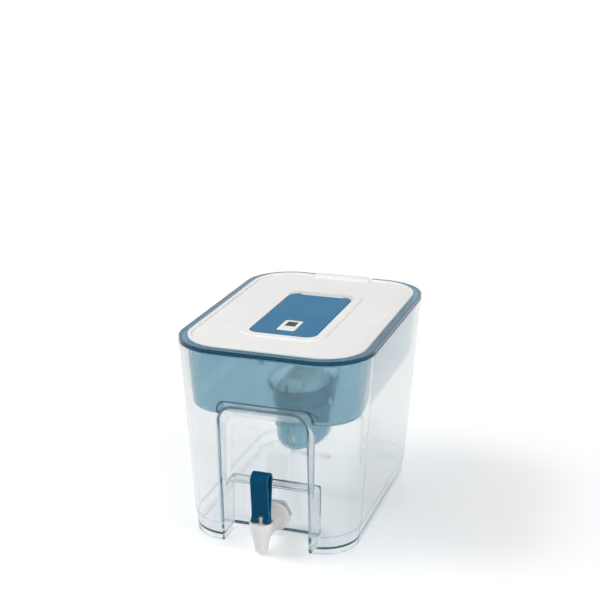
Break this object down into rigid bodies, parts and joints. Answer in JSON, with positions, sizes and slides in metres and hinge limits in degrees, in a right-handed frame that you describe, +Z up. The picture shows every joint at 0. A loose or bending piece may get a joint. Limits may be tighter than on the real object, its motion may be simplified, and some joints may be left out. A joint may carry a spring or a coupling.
{
  "type": "gravity water filter with tap",
  "caption": "Gravity water filter: clear tank with a lever tap in a front recess, lift-out funnel with an oval filter cartridge, and a lid with a lift-off refill flap and change indicator.",
  "frame": {"origin": "middle of the whole part's footprint, on the surface that it stands on", "axes": "+Z up, +X along the front wall to the user's right, -Y towards the user (the tap's side), +Y to the rear grip"},
  "size_m": [0.2, 0.2974, 0.2122],
  "materials": {
    "clear_plastic": "clear, glossy",
    "white_plastic": "semi-gloss",
    "cartridge_white": "satin",
    "grey_rubber": "matt",
    "pin_steel": "satin",
    "lever_blue": "semi-gloss",
    "funnel_blue": "clear, glossy",
    "flap_blue": "semi-gloss",
    "media": "granular",
    "screen_mesh": "fine mesh",
    "label_white": "satin",
    "display_dark": "glossy",
    "board_green": "satin",
    "battery_steel": "satin"
  },
  "bodies": {
    "tank": {"tank_body": "clear_plastic", "tap_body": "white_plastic", "tap_outer_gasket": "grey_rubber", "tap_inner_gasket": "grey_rubber", "tap_lock_nut": "white_plastic", "tap_bonnet": "white_plastic"},
    "valve": {"valve_stem": "white_plastic", "valve_seal": "grey_rubber", "lever_pin": "pin_steel"},
    "lever": {"tap_lever": "lever_blue"},
    "funnel": {"funnel_body": "funnel_blue"},
    "cartridge": {"cartridge_shell": "cartridge_white", "cartridge_cap": "cartridge_white", "filter_media": "media", "upper_screen": "screen_mesh", "outlet_screens": "screen_mesh"},
    "lid": {"lid_body": "white_plastic"},
    "flap": {"refill_flap": "flap_blue", "indicator_case": "label_white", "indicator_cover": "flap_blue", "indicator_display": "display_dark", "indicator_board": "board_green", "indicator_battery": "battery_steel"},
    "button": {"indicator_button": "label_white"}
  },
  "joints": [
    {"name": "valve_lift", "type": "slide", "parent": "tank", "child": "valve", "axis": [0, 0, 1], "range_m": [0, 0.00193]},
    {"name": "lever_hinge", "type": "hinge", "parent": "valve", "child": "lever", "pos_m": [0, -0.1368, 0.0364], "axis": [1, 0, 0], "range_deg": [0, 65], "stiffness_Nm_per_rad": 0.01},
    {"name": "funnel_lift", "type": "slide", "parent": "tank", "child": "funnel", "axis": [0, 0, 1], "range_m": [0, 0.11375]},
    {"name": "cartridge_lift", "type": "slide", "parent": "funnel", "child": "cartridge", "axis": [0, 0, 1], "range_m": [0, 0.12175]},
    {"name": "lid_lift", "type": "slide", "parent": "cartridge", "child": "lid", "axis": [0, 0, 1], "range_m": [0, 0.01]},
    {"name": "flap_lift", "type": "slide", "parent": "lid", "child": "flap", "axis": [0, 0, 1], "range_m": [0, 0.0407]},
    {"name": "button_press", "type": "slide", "parent": "flap", "child": "button", "axis": [0, 0, -1], "range_m": [0, 0.0006], "stiffness_N_per_m": 80}
  ],
  "couplings": [
    {"joint": "lever_hinge", "follows": "valve_lift", "rad_per_m": 587.8}
  ]
}
